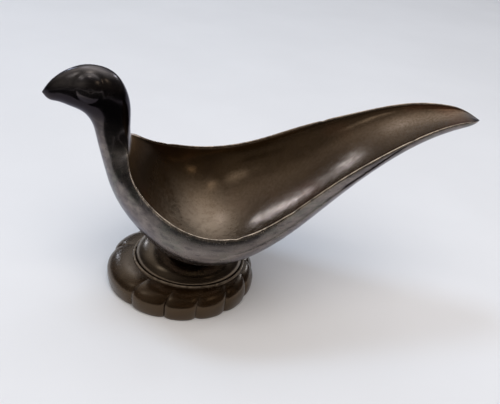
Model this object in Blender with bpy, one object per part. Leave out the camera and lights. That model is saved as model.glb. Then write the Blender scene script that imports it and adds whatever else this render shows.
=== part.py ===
"""Bird-shaped bronze inkwell dish on a domed collar and a lobed foot.

Run with: blender --background --python part.py

Frame: +X runs from the beak to the tail, +Z is up, z = 0 is the surface that the foot stands on.
The origin is under the middle of the whole length, on the bird's plane of symmetry (y = 0).
"""
import math

import bmesh
import bpy
import numpy as np

MM = 0.001

# --- Driving dimensions, in millimetres -----------------------------------------------------------
LENGTH = 182.8              # beak tip to tail tip
BEAK_REACH = 63.9           # from the foot's axis forward to the beak tip
FOOT_AXIS_X = BEAK_REACH - LENGTH / 2   # the ring, collar and stud share this upright axis
RING_HEIGHT = 12.7          # crest of the raised ring round the collar
RING_RADIUS = 24.9
RING_HALF_WIDTH = 0.5
RING_CREST = 0.4            # the crest stands this far above the ring's sides
GAP = 0.3                   # between pieces that touch
OVERSHOOT = 2.0             # cutters pass this far beyond what they cut

# Bird: wall and rim
RIM_WIDTH = 1.0             # the edge of the bowl is this thin
BOWL_FULLNESS = 0.2         # added to 2 in the bowl's cross-section, so that its sides stand fuller
BIRD_ROWS = 84              # cross-sections along the bird
OUTER_STEPS = 9             # points from keel to rim
INNER_STEPS = 8             # points from rim to floor
SWELL_SCALE = 1.5 * math.sqrt(3)   # brings the largest value of sin(a)^2 cos(a) to 1
THINNEST_RIM = 0.6          # where the bird is narrower than the rim, share of the half width that it takes

# Bird: boss and spigot under the bowl
BOSS_RADIUS = 11.0
BOSS_TAPER = 0.8
BOSS_TOP = 23.3             # inside the bowl's wall
SPIGOT_RADIUS = 6.0
SPIGOT_BOTTOM = 10.3
SPIGOT_CHAMFER = 0.5
TAPPED_HOLE_TOP = 19.0

# Collar
COLLAR_BOTTOM = 9.8
COLLAR_TOP = 19.2
COLLAR_RADIUS = 24.0
COLLAR_FLAT_RADIUS = 12.0   # the dome runs from here out to the collar's edge

# Foot
FOOT_RADIUS = 33.3          # over the crown of a lobe
FOOT_LEAD = 3.2             # the lobes stand round a centre this far ahead of the ring's, under the head
LOBE_DEPTH = 1.5            # how far a groove lies inside the lobes
LOBE_FULLNESS = (2.6, 0.65)  # powers that shape a lobe between its two grooves
WIDEST_HEIGHT = 5.4         # the lobes are widest here
BASE_INSET = 1.6            # and curve in by this much to where they stand
CUSHION_DROP = 0.9          # the cushion starts this far below the ring's crest
FOOT_HOLLOW_RADIUS = 28.0
HOLLOW_KNEE = (1.2, 4.5)    # the hollow's wall leans in by this much up to this height
HOLLOW_CORNER = 4.5         # and by this much where it meets the web
WEB_BOTTOM = 7.5
WEB_TOP = 9.5
CUSHION_STEPS = 7
BASE_STEPS = 3
FOOT_STEPS = 120
# Directions of the grooves between the lobes, in degrees from +X. One lobe, under the head, is wide.
GROOVES = (-133, -104, -79, -54, -28, -2, 24, 50, 77, 104, 133, 162)

# Fixings: a 5 mm stud with its washer and nut, and a 2 mm pin
STUD_RADIUS = 2.5
STUD_BOTTOM = 1.2
STUD_TOP = 18.6
STUD_CHAMFER = 0.5
WASHER_RADIUS = 5.0
WASHER_THICKNESS = 1.0
NUT_ACROSS_FLATS = 8.0
NUT_HEIGHT = 4.0
PIN_RADIUS = 1.0
PIN_CHAMFER = 0.3
PIN_OFFSET = 8.5            # from the foot's axis towards the head
PIN_BOTTOM = 8.0
PIN_TOP = 21.6

# --- Cross-sections of the bird --------------------------------------------------------------------
# Each cross-section hangs on three points in the plane of symmetry, given as (x from the foot's axis,
# height above the raised ring): the under side, the widest line, and the upper side. The upper side
# is the crown and nape on the head and neck. Past the neck's root the widest line opens into the rim
# and the upper side sinks below it, to the floor of the bowl. The last three numbers are the half
# width, how far the rim is formed, from 0 on the round neck to 1 along the bowl, and how far the side
# swells out below the rim.
SECTIONS = (
    # name          under side       widest or rim    upper or floor   half width, rim, swell
    ("beak_tip",   (-63.9, 73.0), (-63.9, 73.0), (-63.9, 73.0), 0.0, 0.0, 0.0),
    ("beak_end",   (-62.4, 71.3), (-62.6, 73.4), (-62.4, 75.5), 1.7, 0.0, 0.0),
    ("beak",       (-58.6, 70.0), (-58.8, 75.0), (-58.2, 80.2), 4.2, 0.0, 0.0),
    ("face",       (-53.4, 68.8), (-52.6, 76.2), (-51.4, 84.3), 6.8, 0.0, 0.0),
    ("crown",      (-48.8, 67.1), (-46.0, 76.2), (-43.6, 85.6), 8.2, 0.0, 0.0),
    ("head_back",  (-46.2, 65.0), (-40.8, 73.2), (-35.8, 82.9), 8.2, 0.0, 0.0),
    ("nape",       (-44.3, 62.0), (-37.6, 69.0), (-30.9, 75.9), 7.6, 0.0, 0.0),
    ("neck",       (-41.9, 53.2), (-34.6, 58.9), (-29.0, 63.0), 7.3, 0.0, 0.8),
    ("neck_root",  (-40.1, 46.8), (-30.2, 55.0), (-28.7, 56.4), 9.0, 0.3, 1.7),
    ("neck_foot",  (-38.8, 42.9), (-29.2, 52.4), (-28.2, 52.4), 12.4, 0.8, 2.0),
    ("shoulder",   (-37.1, 38.6), (-28.2, 49.7), (-27.2, 48.2), 18.0, 1.0, 1.5),
    ("breast_top", (-32.0, 29.4), (-24.5, 45.0), (-24.6, 40.2), 25.6, 1.0, 0.8),
    ("breast",     (-24.3, 20.8), (-18.0, 40.3), (-19.2, 29.0), 32.2, 1.0, 0.0),
    ("breast_low", (-16.5, 14.0), (-10.2, 37.0), (-12.6, 19.6), 37.8, 1.0, 0.0),
    ("bowl_front", (-6.0, 8.8),   (-1.2, 35.0),  (-3.0, 13.2),  41.4, 1.0, 0.0),
    ("bowl_mid",   (12.0, 9.6),   (13.0, 35.4),  (13.0, 12.4),  42.7, 1.0, 0.0),
    ("bowl_back",  (30.0, 18.0),  (29.0, 41.4),  (30.0, 20.8),  38.9, 1.0, 0.0),
    ("tail_root",  (50.0, 33.9),  (49.5, 54.0),  (50.4, 36.4),  31.0, 1.0, 0.0),
    ("tail",       (72.0, 54.8),  (72.0, 66.0),  (72.2, 57.0),  22.9, 1.0, 0.0),
    ("tail_thin",  (93.0, 67.9),  (93.2, 74.8),  (93.2, 69.7),  16.0, 1.0, 0.0),
    ("tail_tip",   (107.0, 72.7), (107.2, 77.3), (107.4, 74.2), 10.6, 0.9, 0.0),
    ("tail_end",   (114.8, 74.7), (115.0, 76.8), (115.0, 76.0), 5.6, 0.6, 0.0),
    ("tail_point", (118.9, 75.6), (118.9, 75.6), (118.9, 75.6), 0.0, 0.0, 0.0),
)


def material(name, colour, roughness, metallic=1.0):
    """A Principled material for one sub-part."""
    mat = bpy.data.materials.new(name)
    mat.use_nodes = True
    shader = mat.node_tree.nodes["Principled BSDF"]
    shader.inputs["Base Color"].default_value = (*colour, 1.0)
    shader.inputs["Roughness"].default_value = roughness
    shader.inputs["Metallic"].default_value = metallic
    return mat


def make_object(name, mesh, mat=None, smooth_angle=35.0):
    """Puts a mesh into the scene, shaded smooth up to the given angle."""
    obj = bpy.data.objects.new(name, mesh)
    bpy.context.scene.collection.objects.link(obj)
    if mat is not None:
        mesh.materials.append(mat)
    mesh.shade_smooth()
    mesh.set_sharp_from_angle(angle=math.radians(smooth_angle))
    return obj


def finish_bmesh(bm, name):
    """Merges doubled points, turns every face outwards and returns the mesh."""
    bmesh.ops.remove_doubles(bm, verts=bm.verts, dist=1e-7)
    bmesh.ops.recalc_face_normals(bm, faces=bm.faces)
    mesh = bpy.data.meshes.new(name)
    bm.to_mesh(mesh)
    bm.free()
    return mesh


def turned(name, profile, mat=None, steps=48, location=(FOOT_AXIS_X, 0.0)):
    """A turned piece: the profile, as (radius, height) in mm, spun round an upright axis.

    A profile that starts and ends on the axis is left open, and any other one is closed.
    """
    bm = bmesh.new()
    x, y = location
    verts = [bm.verts.new(((x + r) * MM, y * MM, z * MM)) for r, z in profile]
    edges = [bm.edges.new(pair) for pair in zip(verts, verts[1:])]
    if profile[0][0] > 0:
        edges.append(bm.edges.new((verts[-1], verts[0])))
    bmesh.ops.spin(bm, geom=verts + edges, cent=(x * MM, y * MM, 0), axis=(0, 0, 1),
                   angle=2 * math.pi, steps=steps, use_merge=True)
    return make_object(name, finish_bmesh(bm, name), mat)


def cutter(name, profile, steps=32, location=(FOOT_AXIS_X, 0.0)):
    """A turned cutter, which the build leaves out."""
    obj = turned(name, profile, steps=steps, location=location)
    obj.hide_render = True
    obj.display_type = "WIRE"
    return obj


def boolean(target, tool, operation):
    """Adds an exact Boolean to the target."""
    mod = target.modifiers.new(f"{operation.lower()}_{tool.name}", "BOOLEAN")
    mod.operation = operation
    mod.solver = "EXACT"
    mod.object = tool


def rod_profile(radius, low, high, chamfer=0.0):
    """Profile of a solid rod with chamfered ends."""
    if chamfer == 0.0:
        return [(0, low), (radius, low), (radius, high), (0, high)]
    return [(0, low), (radius - chamfer, low), (radius, low + chamfer),
            (radius, high - chamfer), (radius - chamfer, high), (0, high)]


def natural_spline(knots, values, at):
    """Smooth curve through the values at the knots, with no bend at its two ends."""
    count = len(knots)
    step = np.diff(knots)
    slope = np.diff(values, axis=0) / step[:, None]
    matrix = np.eye(count)
    inner = np.arange(1, count - 1)
    matrix[inner, inner - 1] = step[:-1]
    matrix[inner, inner] = 2 * (step[:-1] + step[1:])
    matrix[inner, inner + 1] = step[1:]
    right = np.zeros_like(values)
    right[1:-1] = 6 * np.diff(slope, axis=0)
    bend = np.linalg.solve(matrix, right)
    k = np.clip(np.searchsorted(knots, at, side="right") - 1, 0, count - 2)
    h = step[k][:, None]
    after = (at - knots[k])[:, None]
    before = (knots[k + 1] - at)[:, None]
    return (bend[k] * before ** 3 / (6 * h) + bend[k + 1] * after ** 3 / (6 * h)
            + (values[k] / h - bend[k] * h / 6) * before
            + (values[k + 1] / h - bend[k + 1] * h / 6) * after)


def bird_half_sections():
    """Points of the +Y half, cross-section by cross-section, from the keel over the rim to the floor.

    From the keel to the rim a section is a quarter of a superellipse between the under side and the
    widest line, with the swell added to its side. The rim is a small half circle, and the inside is a
    quarter of an ellipse.
    """
    table = np.array([[*under, *widest, *upper, *rest] for _, under, widest, upper, *rest in SECTIONS])
    middle = (table[:, 0:2] + 2 * table[:, 2:4] + table[:, 4:6]) / 4
    knots = np.concatenate([[0.0], np.cumsum(np.hypot(*np.diff(middle, axis=0).T))])
    rows = natural_spline(knots, table, np.linspace(0.0, knots[-1], BIRD_ROWS))
    under, widest, upper = rows[:, None, 0:2], rows[:, None, 2:4], rows[:, None, 4:6]
    half = np.maximum(rows[:, 6:7], 0.0)
    formed = np.clip(rows[:, 7:8], 0.0, 1.0)
    rim = np.minimum(RIM_WIDTH * formed, THINNEST_RIM * half)

    angle = np.linspace(0.0, math.pi / 2, OUTER_STEPS + 1)[None, :]
    power = 2 / (2 + BOWL_FULLNESS * formed)
    across = np.abs(np.sin(angle)) ** power
    down = np.abs(np.cos(angle)) ** power
    down[:, -1] = 0.0
    outer_plane = widest + (under - widest) * down[..., None]
    swell_shape = SWELL_SCALE * np.sin(angle) ** 2 * np.cos(angle)
    outer_side = half * across + rows[:, 8:9] * swell_shape

    top_plane = widest + np.array([0.0, 1.0]) * rim[..., None] / 2
    top_side = half - rim / 2

    angle = np.linspace(math.pi / 2, math.pi, INNER_STEPS + 1)[None, :]
    inner_plane = widest + (upper - widest) * -np.cos(angle)[..., None]
    inner_side = (half - rim) * np.sin(angle)
    inner_side[:, -1] = 0.0

    plane = np.concatenate([outer_plane, top_plane, inner_plane], axis=1)
    side = np.concatenate([outer_side, top_side, inner_side], axis=1)
    x = plane[..., 0] + FOOT_AXIS_X
    z = plane[..., 1] + RING_HEIGHT
    return np.stack([x, side, z], axis=-1) * MM


def bird_mesh():
    """The bird as one closed skin: the +Y half, its mirror image, and a point at each end."""
    half = bird_half_sections()
    mirror = half[:, -2:0:-1] * np.array([1.0, -1.0, 1.0])
    loops = np.concatenate([half, mirror], axis=1)[1:-1]
    rows, around = loops.shape[:2]
    bm = bmesh.new()
    grid = [[bm.verts.new(point) for point in loop] for loop in loops]
    tips = [bm.verts.new(half[0, 0]), bm.verts.new(half[-1, 0])]
    for j in range(around):
        k = (j + 1) % around
        bm.faces.new((tips[0], grid[0][j], grid[0][k]))
        bm.faces.new((tips[1], grid[-1][k], grid[-1][j]))
        for i in range(rows - 1):
            bm.faces.new((grid[i][j], grid[i + 1][j], grid[i + 1][k], grid[i][k]))
    return finish_bmesh(bm, "bird_bowl")


def build_bird(mat):
    """Head, neck, open bowl and tail, with the boss, spigot and tapped hole under the bowl."""
    bird = make_object("bird_bowl", bird_mesh(), mat)
    boss_bottom = COLLAR_TOP + GAP
    boss = cutter("boss_tool", [(0, SPIGOT_BOTTOM), (SPIGOT_RADIUS - SPIGOT_CHAMFER, SPIGOT_BOTTOM),
                                (SPIGOT_RADIUS, SPIGOT_BOTTOM + SPIGOT_CHAMFER),
                                (SPIGOT_RADIUS, boss_bottom), (BOSS_RADIUS, boss_bottom),
                                (BOSS_RADIUS - BOSS_TAPER, BOSS_TOP), (0, BOSS_TOP)], steps=40)
    hole = cutter("tapped_hole_tool",
                  rod_profile(STUD_RADIUS + GAP, SPIGOT_BOTTOM - OVERSHOOT, TAPPED_HOLE_TOP))
    boolean(bird, boss, "UNION")
    boolean(bird, hole, "DIFFERENCE")
    boolean(bird, pin_hole("bird_pin_hole_tool", boss_bottom - OVERSHOOT, PIN_TOP + GAP), "DIFFERENCE")


def pin_hole(name, low, high):
    """Cutter for the index pin's hole."""
    return cutter(name, rod_profile(PIN_RADIUS + GAP, low, high), steps=20,
                  location=(FOOT_AXIS_X - PIN_OFFSET, 0.0))


def build_collar(mat):
    """Turned collar: an upright edge inside the raised ring, a dome, and a bore for the spigot."""
    bore = SPIGOT_RADIUS + GAP
    edge_top = RING_HEIGHT - GAP
    dome = [(COLLAR_FLAT_RADIUS + (COLLAR_RADIUS - COLLAR_FLAT_RADIUS) * math.cos(a),
             edge_top + (COLLAR_TOP - edge_top) * math.sin(a))
            for a in np.linspace(0, math.pi / 2, 9)]
    profile = [(bore, COLLAR_TOP), (bore, COLLAR_BOTTOM), (COLLAR_RADIUS, COLLAR_BOTTOM)] + dome
    collar = turned("pedestal_collar", profile, mat, steps=56)
    through = pin_hole("collar_pin_hole_tool", COLLAR_BOTTOM - OVERSHOOT, COLLAR_TOP + OVERSHOOT)
    boolean(collar, through, "DIFFERENCE")


def lobe_height(angles):
    """How full each lobe is at these angles, from 0 in a groove to 1 on the crown."""
    edges = np.radians(np.array(GROOVES + (GROOVES[0] + 360,), dtype=float))
    turned_angles = (angles - edges[0]) % (2 * math.pi) + edges[0]
    k = np.clip(np.searchsorted(edges, turned_angles, side="right") - 1, 0, len(GROOVES) - 1)
    across = 2 * (turned_angles - edges[k]) / (edges[k + 1] - edges[k]) - 1
    squareness, steepness = LOBE_FULLNESS
    return np.clip(1 - np.abs(across) ** squareness, 0.0, 1.0) ** steepness


def foot_profile():
    """Outline of the foot as (radius, height), how lobed each point is, and how far it follows the lead."""
    hole = STUD_RADIUS + GAP
    shoulder = RING_RADIUS + RING_HALF_WIDTH
    rise = RING_HEIGHT - CUSHION_DROP - WIDEST_HEIGHT
    start = [(hole, WEB_BOTTOM), (hole, WEB_TOP)]
    ring = [(COLLAR_RADIUS + GAP, WEB_TOP), (RING_RADIUS - RING_HALF_WIDTH, RING_HEIGHT - RING_CREST),
            (RING_RADIUS, RING_HEIGHT), (RING_RADIUS + RING_HALF_WIDTH, RING_HEIGHT - RING_CREST)]
    turn = np.linspace(0, math.pi / 2, CUSHION_STEPS)
    cushion = [(shoulder + (FOOT_RADIUS - shoulder) * math.sin(a), WIDEST_HEIGHT + rise * math.cos(a))
               for a in turn]
    base = [(FOOT_RADIUS - BASE_INSET * (1 - math.cos(a)), WIDEST_HEIGHT * (1 - math.sin(a)))
            for a in np.linspace(0, math.pi / 2, BASE_STEPS + 1)[1:]]
    lean, knee = HOLLOW_KNEE
    under = [(FOOT_HOLLOW_RADIUS, 0.0), (FOOT_HOLLOW_RADIUS - lean, knee),
             (FOOT_HOLLOW_RADIUS - HOLLOW_CORNER, WEB_BOTTOM)]
    profile = np.array(start + ring + cushion + base + under)
    inner = np.zeros(len(start) + len(ring))
    lobed = np.concatenate([inner, np.sin(turn), np.ones(len(base)), np.zeros(len(under))])
    lead = np.concatenate([inner, np.sin(turn), np.ones(len(base) + len(under))])
    return profile, lobed, lead


def build_foot(mat):
    """Cast foot: raised ring, lobed cushion that curves in to its base, and a hollow under a flat web."""
    profile, lobed, lead = foot_profile()
    angles = np.linspace(0, 2 * math.pi, FOOT_STEPS, endpoint=False)
    radius = profile[None, :, 0] - LOBE_DEPTH * (1 - lobe_height(angles))[:, None] * lobed[None, :]
    height = np.broadcast_to(profile[None, :, 1], radius.shape)
    x = FOOT_AXIS_X - FOOT_LEAD * lead + radius * np.cos(angles)[:, None]
    y = radius * np.sin(angles)[:, None]
    points = np.stack([x, y, height], axis=-1) * MM
    bm = bmesh.new()
    grid = [[bm.verts.new(point) for point in row] for row in points]
    count = len(profile)
    for i in range(FOOT_STEPS):
        n = (i + 1) % FOOT_STEPS
        for j in range(count):
            k = (j + 1) % count
            bm.faces.new((grid[i][j], grid[n][j], grid[n][k], grid[i][k]))
    foot = make_object("lobed_foot", finish_bmesh(bm, "lobed_foot"), mat)
    through = pin_hole("foot_pin_hole_tool", WEB_BOTTOM - OVERSHOOT, WEB_TOP + OVERSHOOT)
    boolean(foot, through, "DIFFERENCE")


def build_fixings(steel):
    """Stud, washer, nut and index pin."""
    turned("centre_stud", rod_profile(STUD_RADIUS, STUD_BOTTOM, STUD_TOP, STUD_CHAMFER), steel, steps=32)
    hole = STUD_RADIUS + GAP
    washer_top = WEB_BOTTOM - GAP
    washer_bottom = washer_top - WASHER_THICKNESS
    turned("foot_washer", [(hole, washer_top), (hole, washer_bottom), (WASHER_RADIUS, washer_bottom),
                           (WASHER_RADIUS, washer_top)], steel, steps=40)
    nut_top = washer_bottom - GAP
    corner = NUT_ACROSS_FLATS / math.sqrt(3)
    nut = turned("foot_nut", [(0, nut_top - NUT_HEIGHT), (corner, nut_top - NUT_HEIGHT),
                              (corner, nut_top), (0, nut_top)], steel, steps=6)
    boolean(nut, cutter("nut_hole_tool", rod_profile(hole, 0, WEB_BOTTOM)), "DIFFERENCE")
    turned("index_pin", rod_profile(PIN_RADIUS, PIN_BOTTOM, PIN_TOP, PIN_CHAMFER), steel, steps=20,
           location=(FOOT_AXIS_X - PIN_OFFSET, 0.0))


def main():
    """Clears the scene and builds every piece."""
    for obj in list(bpy.data.objects):
        bpy.data.objects.remove(obj, do_unlink=True)
    build_bird(material("dark_bronze", (0.075, 0.055, 0.04), 0.38))
    build_collar(material("collar_bronze", (0.07, 0.05, 0.035), 0.36))
    build_foot(material("foot_bronze", (0.08, 0.06, 0.045), 0.4))
    build_fixings(material("steel", (0.55, 0.54, 0.52), 0.4))


main()
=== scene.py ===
"""Finish model of a bird-shaped bronze inkwell dish on a domed collar and a lobed foot.

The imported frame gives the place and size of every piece. Each sub-assembly below builds its own fine
meshes as closed numpy surfaces and dresses them in a procedural finish. Lengths inside the classes are
millimetres, measured from the upright axis of the foot and from the table, unless a name says otherwise.
"""
import logging
import math
from dataclasses import dataclass, field
from enum import Enum
from typing import Sequence

import bpy
import numpy as np
from mathutils import Matrix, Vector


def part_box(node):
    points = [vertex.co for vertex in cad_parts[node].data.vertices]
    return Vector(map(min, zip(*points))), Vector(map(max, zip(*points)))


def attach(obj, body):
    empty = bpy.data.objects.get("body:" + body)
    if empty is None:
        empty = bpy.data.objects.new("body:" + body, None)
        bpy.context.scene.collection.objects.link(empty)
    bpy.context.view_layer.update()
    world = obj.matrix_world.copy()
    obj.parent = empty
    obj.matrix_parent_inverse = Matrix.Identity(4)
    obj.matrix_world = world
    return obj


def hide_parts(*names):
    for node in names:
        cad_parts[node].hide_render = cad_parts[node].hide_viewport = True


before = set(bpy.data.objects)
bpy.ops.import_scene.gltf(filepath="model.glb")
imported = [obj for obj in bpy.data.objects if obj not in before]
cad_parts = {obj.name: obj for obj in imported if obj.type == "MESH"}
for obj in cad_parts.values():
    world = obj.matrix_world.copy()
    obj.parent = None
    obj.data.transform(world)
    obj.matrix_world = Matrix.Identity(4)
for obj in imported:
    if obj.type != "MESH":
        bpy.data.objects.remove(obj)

LOG = logging.getLogger("bird_inkwell")
MM = 0.001
ROOT = "root"
GAP = 0.3                   # mm between pieces that touch
Point = tuple[float, float, float]
Colour = tuple[float, float, float]
Flat = tuple[float, float]
Socket = bpy.types.NodeSocket
Section = tuple[Flat, Flat, Flat, float, float, float]

# painted shade: the collar sits under the bowl, so its browns are about a third as light as the foot's
COLLAR_SHADED_BROWNS: tuple[Colour, Colour] = ((0.003, 0.0015, 0.001), (0.009, 0.005, 0.002))
FOOT_BROWNS: tuple[Colour, Colour] = ((0.009, 0.004, 0.001), (0.024, 0.012, 0.005))
FOOT_GLAZE: Colour = (1.0, 0.73, 0.48)


class Slot(Enum):
    """Material slots of the record."""

    BIRD = "bird_bronze"
    COLLAR = "collar_bronze"
    FOOT = "foot_bronze"
    STEEL = "steel"


class Mark(Enum):
    """Values painted on the points of a piece, which its finish reads."""

    RIM = "rim"
    INSIDE = "inside"
    # real wear on the beak, and a painted sheen on the bowl's floor
    RUBBED = "wear_and_sheen"
    # painted shade: darkening in creases, grooves, under the rim, in the bowl's corner and at the collar's
    # edge
    RECESS = "painted_shade"
    # painted shade on the head and neck, in place of their dark reflections, less on the crown
    BLACKENED = "head_neck_shade"


# --- Curves and closed skins ---

def smooth_step(low: float, high: float, value: np.ndarray) -> np.ndarray:
    """Rises smoothly from 0 at low to 1 at high, as 3t^2 - 2t^3."""
    t = np.clip((value - low) / (high - low), 0.0, 1.0)
    return t * t * (3.0 - 2.0 * t)


def natural_spline(knots: np.ndarray, values: np.ndarray, at: np.ndarray) -> np.ndarray:
    """Cubic curve through the values, with no bend at its two ends.

    Args:
        knots: rising positions of the values.
        values: one row for each knot.
        at: positions to read.

    Returns:
        One row for each position.
    """
    count = len(knots)
    step = np.diff(knots)
    slope = np.diff(values, axis=0) / step[:, None]
    matrix = np.eye(count)
    inner = np.arange(1, count - 1)
    matrix[inner, inner - 1] = step[:-1]
    matrix[inner, inner] = 2 * (step[:-1] + step[1:])
    matrix[inner, inner + 1] = step[1:]
    right = np.zeros_like(values)
    right[1:-1] = 6 * np.diff(slope, axis=0)
    bend = np.linalg.solve(matrix, right)
    k = np.clip(np.searchsorted(knots, at, side="right") - 1, 0, count - 2)
    h = step[k][:, None]
    after = (at - knots[k])[:, None]
    before = (knots[k + 1] - at)[:, None]
    return (bend[k] * before ** 3 / (6 * h) + bend[k + 1] * after ** 3 / (6 * h)
            + (values[k] / h - bend[k] * h / 6) * before
            + (values[k + 1] / h - bend[k + 1] * h / 6) * after)


def grid_normals(grid: np.ndarray, round_rows: bool) -> np.ndarray:
    """Unit normals of a grid whose columns run round a closed loop.

    Args:
        grid: points, as rows by columns by 3.
        round_rows: whether the rows run round a closed loop as well.

    Returns:
        The cross product of the two directions of the grid, at length 1.
    """
    around = np.roll(grid, -1, axis=1) - np.roll(grid, 1, axis=1)
    if round_rows:
        along = np.roll(grid, -1, axis=0) - np.roll(grid, 1, axis=0)
    else:
        along = np.gradient(grid, axis=0)
    normal = np.cross(along, around)
    return normal / (np.linalg.norm(normal, axis=2, keepdims=True) + 1e-12)


def ripples(points: np.ndarray, wave: float, seed: int) -> np.ndarray:
    """Smooth unevenness between about -1 and 1: a sum of seven plane sine waves in fixed directions.

    Args:
        points: positions, in mm.
        wave: the middle wavelength, in mm.
        seed: picks the directions.

    Returns:
        One value for each point.
    """
    rng = np.random.default_rng(seed)
    total = np.zeros(points.shape[:-1])
    for _ in range(7):
        direction = rng.normal(size=3)
        direction *= 2 * math.pi / (wave * rng.uniform(0.7, 1.5) * np.linalg.norm(direction))
        total += np.sin(points @ direction + rng.uniform(0, 2 * math.pi))
    return total / 3.5


def linked(name: str, data: bpy.types.ID) -> bpy.types.Object:
    """A new object with this data, linked to the scene."""
    made = bpy.data.objects.new(name, data)
    bpy.context.scene.collection.objects.link(made)
    return made


@dataclass
class Skin:
    """A closed mesh in the making: points in mm, faces, and marks on the points."""

    points: np.ndarray
    faces: list[np.ndarray]
    marks: dict[Mark, np.ndarray] = field(default_factory=dict)

    def to_object(self, name: str, axis_x: float, smooth_angle: float = 40.0) -> bpy.types.Object:
        """Makes the object, with its place in its mesh.

        Args:
            name: the piece's name.
            axis_x: where the foot's upright axis stands, in metres.
            smooth_angle: edges sharper than this many degrees stay crisp.

        Returns:
            The new object, linked to the scene.
        """
        mesh = bpy.data.meshes.new(name)
        coords = self.points * MM + np.array([axis_x, 0.0, 0.0])
        mesh.vertices.add(len(coords))
        mesh.vertices.foreach_set("co", coords.astype(np.float32).ravel())
        sizes = np.concatenate([np.full(len(part), part.shape[1]) for part in self.faces])
        corners = np.concatenate([part.ravel() for part in self.faces]).astype(np.int32)
        mesh.loops.add(len(corners))
        mesh.loops.foreach_set("vertex_index", corners)
        mesh.polygons.add(len(sizes))
        starts = np.concatenate([[0], np.cumsum(sizes)[:-1]]).astype(np.int32)
        mesh.polygons.foreach_set("loop_start", starts)
        mesh.update(calc_edges=True)
        mesh.validate()
        for mark, values in self.marks.items():
            layer = mesh.attributes.new(mark.value, "FLOAT", "POINT")
            layer.data.foreach_set("value", np.clip(values, 0.0, 1.0).astype(np.float32).ravel())
        mesh.shade_smooth()
        mesh.set_sharp_from_angle(angle=math.radians(smooth_angle))
        return linked(name, mesh)


def tube_faces(rows: int, around: int, round_rows: bool) -> np.ndarray:
    """Quads of a grid that is closed round its columns, and round its rows too when asked."""
    last = rows if round_rows else rows - 1
    i, j = np.meshgrid(np.arange(last), np.arange(around), indexing="ij")
    n, k = (i + 1) % rows, (j + 1) % around
    quads = np.stack([i * around + j, n * around + j, n * around + k, i * around + k], axis=-1)
    return quads.reshape(-1, 4)


def pole_fans(points: int, around: int) -> list[np.ndarray]:
    """Triangles that close a tube of this many points at both ends. Its poles are the next two points."""
    j = np.arange(around)
    k = (j + 1) % around
    last = points - around
    return [np.stack([np.full(around, points), k, j], axis=-1),
            np.stack([np.full(around, points + 1), last + j, last + k], axis=-1)]


def turned_skin(profile: Sequence[Flat], steps: int, centre: Flat = (0.0, 0.0),
                marks: dict[Mark, np.ndarray] | None = None) -> Skin:
    """A turned solid: each profile point (radius, height) runs round an upright circle.

    A profile that starts and ends on the axis closes with a fan of triangles at each pole. Any other
    profile is closed on itself, as on a ring. The profile runs anticlockwise as seen with the axis on
    the left, which turns the faces outwards.

    Args:
        profile: the outline, in mm.
        steps: points round the circle.
        centre: x and y of the axis, in mm.
        marks: values for each profile point.

    Returns:
        The closed skin.
    """
    outline = np.array(profile, dtype=float)
    capped = outline[0, 0] == 0.0
    body = outline[1:-1] if capped else outline
    angle = np.linspace(0.0, 2 * math.pi, steps, endpoint=False)
    ring = np.stack([np.cos(angle), np.sin(angle)], axis=-1)
    flat = body[:, None, 0, None] * ring[None] + np.array(centre)
    height = np.broadcast_to(body[:, None, 1:2], (*flat.shape[:2], 1))
    points = np.concatenate([flat, height], axis=-1).reshape(-1, 3)
    faces = [tube_faces(len(body), steps, not capped)[:, ::-1]]
    painted = {}
    for mark, values in (marks or {}).items():
        inner = values[1:-1] if capped else values
        painted[mark] = np.repeat(inner, steps)
    if capped:
        faces += pole_fans(len(points), steps)
        points = np.vstack([points, [[*centre, outline[0, 1]], [*centre, outline[-1, 1]]]])
        painted = {mark: np.append(values, [values[0], values[-1]]) for mark, values in painted.items()}
    return Skin(points, faces, painted)


def arc(centre: Flat, radii: Flat, start: float, end: float, count: int) -> list[Flat]:
    """Points on a stretch of an ellipse, from the start angle to the end angle in degrees."""
    angle = np.radians(np.linspace(start, end, count))
    return list(zip(centre[0] + radii[0] * np.cos(angle), centre[1] + radii[1] * np.sin(angle)))


# --- Finishes ---

def join(tree: bpy.types.NodeTree, source: Socket | float | Sequence[float], target: Socket) -> None:
    """Links a socket to the target, or sets the target to a plain value."""
    if isinstance(source, Socket):
        tree.links.new(source, target)
    else:
        target.default_value = source


def step(tree: bpy.types.NodeTree, kind: str, operation: str,
         *sources: Socket | float | Point) -> bpy.types.Node:
    """Adds a node that does one operation on its sources, in order."""
    node = tree.nodes.new(kind)
    node.operation = operation
    for source, target in zip(sources, node.inputs):
        join(tree, source, target)
    return node


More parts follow.
